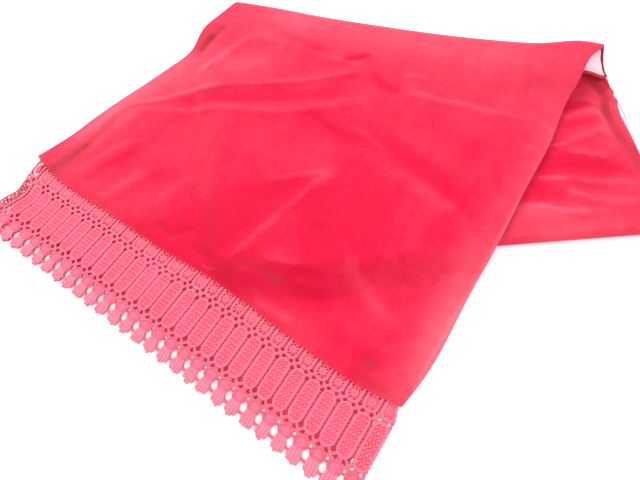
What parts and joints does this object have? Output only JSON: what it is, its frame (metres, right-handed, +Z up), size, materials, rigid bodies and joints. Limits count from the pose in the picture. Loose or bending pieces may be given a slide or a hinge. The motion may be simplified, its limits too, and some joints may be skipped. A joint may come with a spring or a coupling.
{
  "type": "velvet shawl with lace trim, folded and laid flat",
  "caption": "Folded velvet shawl lying flat, with a wide guipure lace band and tassels along its end and a slanting ridge where it turns back.",
  "frame": {"origin": "on the floor, under the middle of the whole shawl's box", "axes": "+X along the lace towards the front's free edge, +Y from the lace towards the ridge, +Z up from the floor"},
  "size_m": [0.5964, 0.5328, 0.034],
  "materials": {
    "velvet": "short cut pile with a soft sheen",
    "lining": "smooth thin satin",
    "lace": "matt embroidered cord"
  },
  "bodies": {
    "root": {"front_panel": "velvet", "under_panel": "velvet", "back_panel": "velvet", "hidden_layers": "velvet", "fold_lining": "lining", "top_lace": "lace", "lace_fold": "lace", "top_fringe": "lace", "under_lace": "lace", "under_fringe": "lace"}
  },
  "joints": []
}
